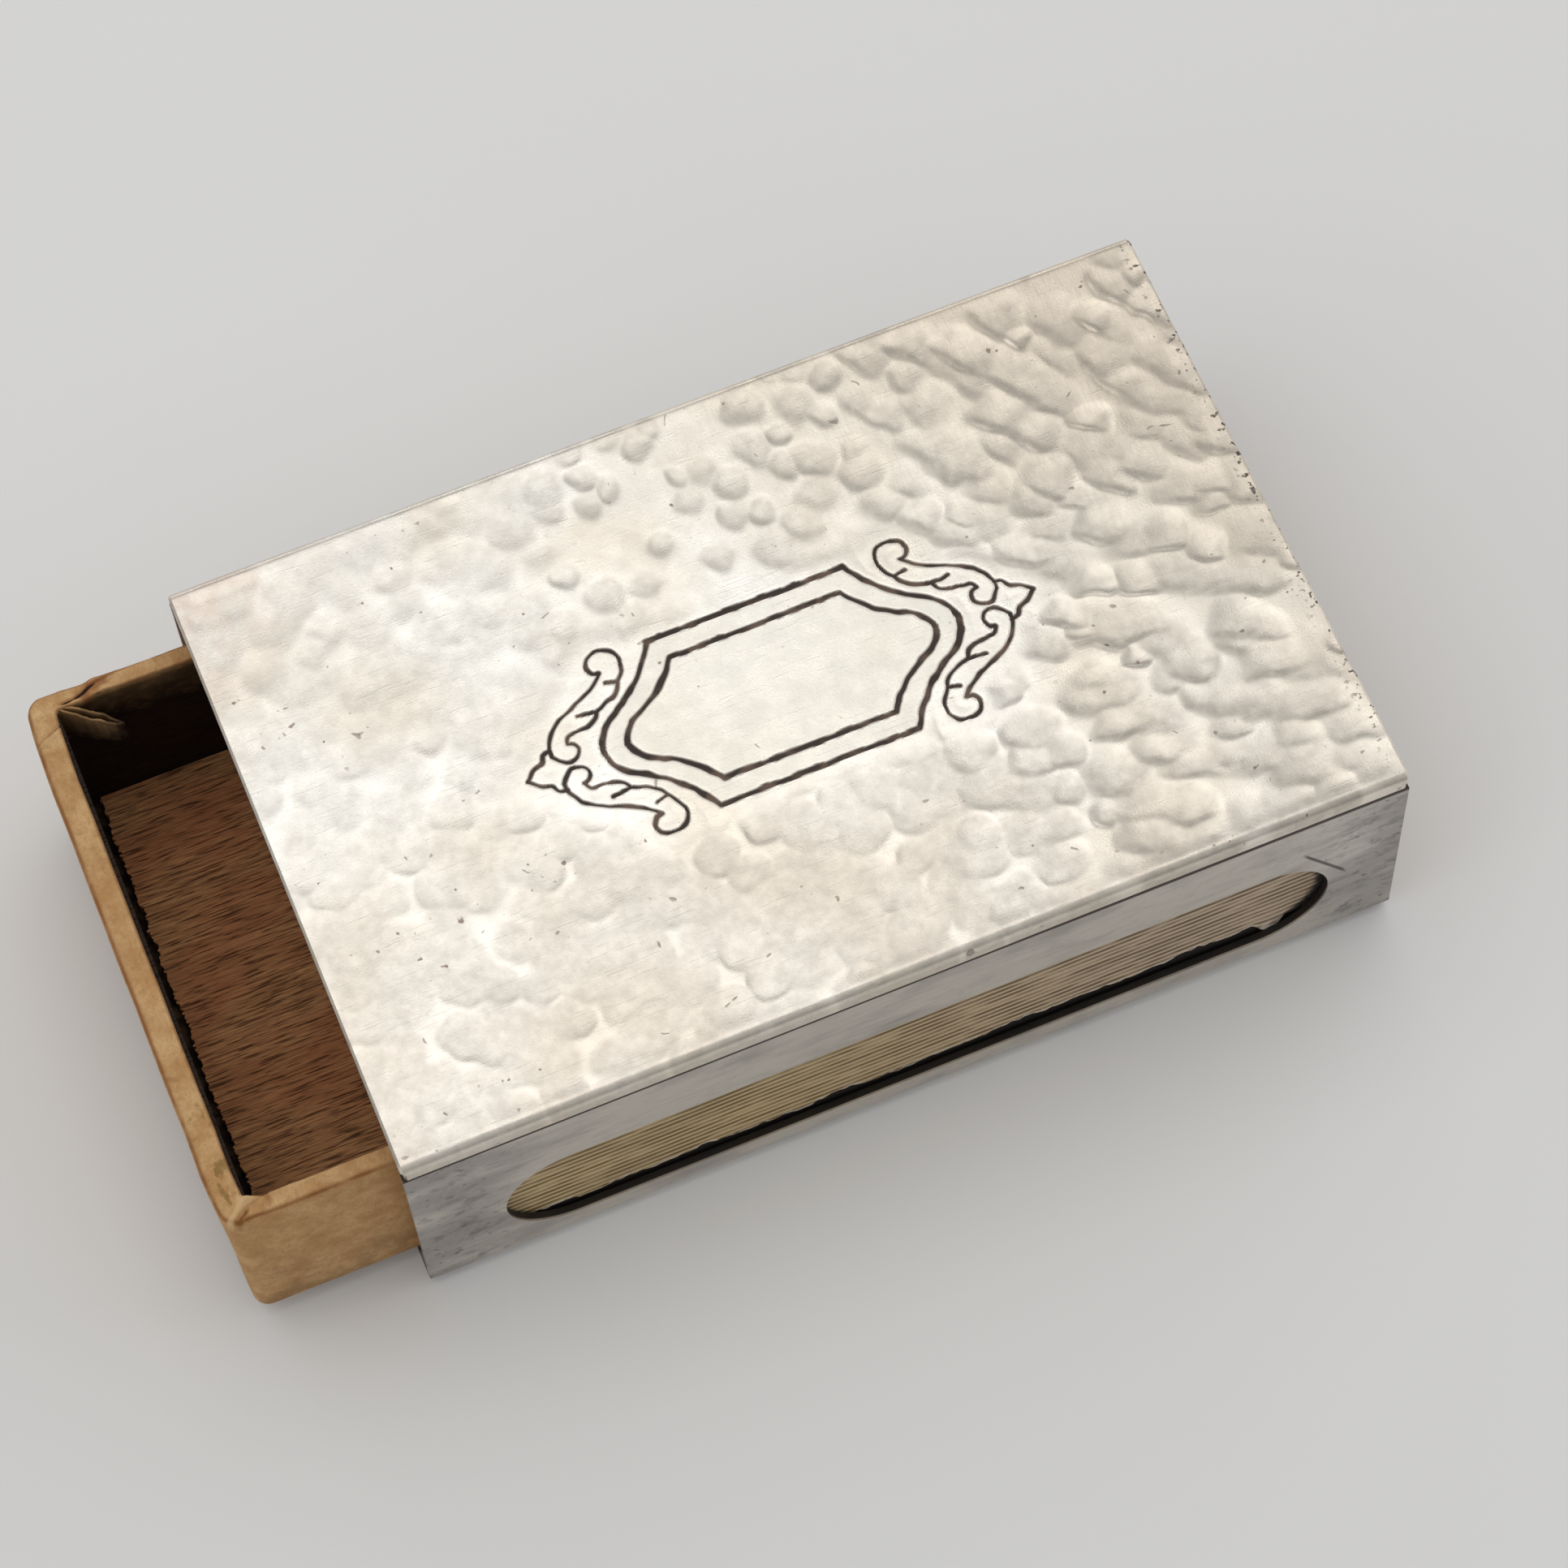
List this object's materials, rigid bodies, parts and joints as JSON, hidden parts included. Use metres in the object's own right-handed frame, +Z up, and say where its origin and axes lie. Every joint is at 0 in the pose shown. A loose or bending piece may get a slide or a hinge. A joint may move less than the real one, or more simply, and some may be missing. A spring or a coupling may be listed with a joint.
{
  "type": "matchbox holder",
  "caption": "Hammered metal cover, open at both ends and slotted along its sides, slipped over a matchbox whose wrapped tray slides out.",
  "frame": {"origin": "middle of the cover's underside, on the surface that the holder rests on", "axes": "+X along the cover's length towards its closed-tray end, so the tray comes out at -X; -Y is the front side wall seen in the picture; +Z up"},
  "size_m": [0.0668, 0.037, 0.0168],
  "materials": {
    "hammered_silver": "hand-hammered, softly polished, worn",
    "satin_silver": "satin with grey tarnish",
    "pale_veneer": "raw cut veneer",
    "dark_veneer": "raw sawn veneer, darkened by age",
    "cream_paper": "matt, aged",
    "striking_strip": "matt, finely lined and gritty",
    "kraft_paper": "matt, fibrous, creased and stained"
  },
  "bodies": {
    "cover": {"cover_top_plate": "hammered_silver", "cover_channel": "satin_silver"},
    "matchbox_sleeve": {"sleeve_shell": "pale_veneer", "sleeve_paper": "cream_paper", "striker_front": "striking_strip", "striker_back": "striking_strip"},
    "matchbox_tray": {"tray_base": "dark_veneer", "tray_wall_strip": "pale_veneer", "tray_paper": "kraft_paper"}
  },
  "joints": [
    {"name": "sleeve_slide", "type": "slide", "parent": "cover", "child": "matchbox_sleeve", "axis": [1, 0, 0], "range_m": [-0.049, 0.049]},
    {"name": "tray_slide", "type": "slide", "parent": "matchbox_sleeve", "child": "matchbox_tray", "axis": [1, 0, 0], "range_m": [-0.039, 0.058]}
  ]
}
